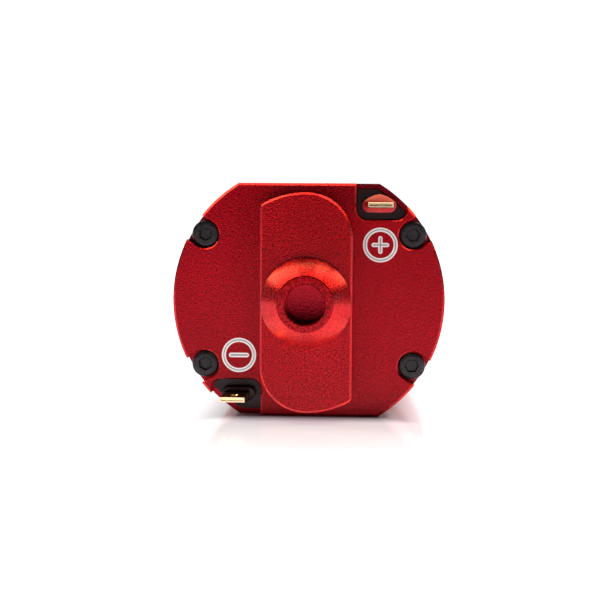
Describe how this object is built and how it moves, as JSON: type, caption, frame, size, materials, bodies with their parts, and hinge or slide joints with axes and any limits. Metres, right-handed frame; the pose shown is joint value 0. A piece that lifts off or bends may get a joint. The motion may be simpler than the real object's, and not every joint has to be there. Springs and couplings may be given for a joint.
{
  "type": "sealed brushless outrunner motor with built-in driver",
  "caption": "Flat-sided red aluminium brushless motor: its outer rotor turns inside a fixed housing, with spade terminals, a thrust boss on the rear cap and a pinion on the shaft.",
  "frame": {"origin": "centre of the motor's box, on the shaft's axis", "axes": "+Y along the shaft from the rear cap to the pinion, +Z square to the upper flat, +X to the right seen from behind the motor"},
  "size_m": [0.028, 0.073, 0.024],
  "materials": {
    "red_anodised": "bead-blasted, red anodised",
    "black_oxide_steel": "black oxide on steel",
    "gold_plate": "gold-plated brass",
    "black_plastic": "matt moulded",
    "red_plastic": "satin moulded",
    "circuit_board": "solder mask on glass-epoxy",
    "chip_resin": "moulded epoxy",
    "capacitor_body": "fired ceramic",
    "lead_insulation": "silicone sleeve",
    "aluminium": "turned",
    "electrical_steel": "stacked laminations",
    "end_insulator": "glass-epoxy sheet",
    "enamelled_copper": "enamelled copper wire",
    "plated_steel": "zinc or nickel plated",
    "hardened_steel": "ground",
    "magnet_plating": "nickel plated"
  },
  "bodies": {
    "motor_body": {"housing": "red_anodised", "rear_cap": "red_anodised", "cap_screw_1": "black_oxide_steel", "cap_screw_2": "black_oxide_steel", "cap_screw_3": "black_oxide_steel", "cap_screw_4": "black_oxide_steel", "terminal_positive": "gold_plate", "terminal_negative": "gold_plate", "terminal_carrier": "black_plastic", "terminal_collar_negative": "black_plastic", "board_spacer": "black_plastic", "board_link": "black_plastic", "terminal_collar_positive": "red_plastic", "control_board": "circuit_board", "power_board": "circuit_board", "power_transistor_1": "chip_resin", "power_transistor_2": "chip_resin", "power_transistor_3": "chip_resin", "controller_chip": "chip_resin", "bus_capacitor_1": "capacitor_body", "bus_capacitor_2": "capacitor_body", "phase_lead_1": "lead_insulation", "phase_lead_2": "lead_insulation", "phase_lead_3": "lead_insulation", "stator_base": "aluminium", "stator_core": "electrical_steel", "end_insulator_rear": "end_insulator", "end_insulator_front": "end_insulator", "coil_1": "enamelled_copper", "coil_2": "enamelled_copper", "coil_3": "enamelled_copper", "coil_4": "enamelled_copper", "coil_5": "enamelled_copper", "coil_6": "enamelled_copper", "coil_7": "enamelled_copper", "coil_8": "enamelled_copper", "coil_9": "enamelled_copper", "preload_washer": "plated_steel", "bearing_retaining_ring": "plated_steel", "bearing_shield": "plated_steel", "front_bearing_outer_ring": "hardened_steel", "rear_bearing_outer_ring": "hardened_steel"},
    "rotor": {"shaft": "hardened_steel", "rotor_hub": "aluminium", "flux_ring": "plated_steel", "magnet_1": "magnet_plating", "magnet_2": "magnet_plating", "magnet_3": "magnet_plating", "magnet_4": "magnet_plating", "magnet_5": "magnet_plating", "magnet_6": "magnet_plating", "hub_set_screw": "black_oxide_steel", "shaft_clip": "plated_steel", "pinion": "hardened_steel", "pinion_set_screw": "black_oxide_steel", "front_bearing_inner_ring": "hardened_steel", "rear_bearing_inner_ring": "hardened_steel"},
    "front_bearing_cage": {"front_bearing_balls": "hardened_steel"},
    "rear_bearing_cage": {"rear_bearing_balls": "hardened_steel"}
  },
  "joints": [
    {"name": "rotor_spin", "type": "hinge", "parent": "motor_body", "child": "rotor", "pos_m": [0, 0, 0], "axis": [0, 1, 0], "continuous": true},
    {"name": "front_cage_spin", "type": "hinge", "parent": "motor_body", "child": "front_bearing_cage", "pos_m": [0, 0.0162, 0], "axis": [0, 1, 0], "continuous": true},
    {"name": "rear_cage_spin", "type": "hinge", "parent": "motor_body", "child": "rear_bearing_cage", "pos_m": [0, -0.0131, 0], "axis": [0, 1, 0], "continuous": true}
  ],
  "couplings": [
    {"joint": "front_cage_spin", "follows": "rotor_spin", "ratio": 0.3756},
    {"joint": "rear_cage_spin", "follows": "rotor_spin", "ratio": 0.3958}
  ]
}
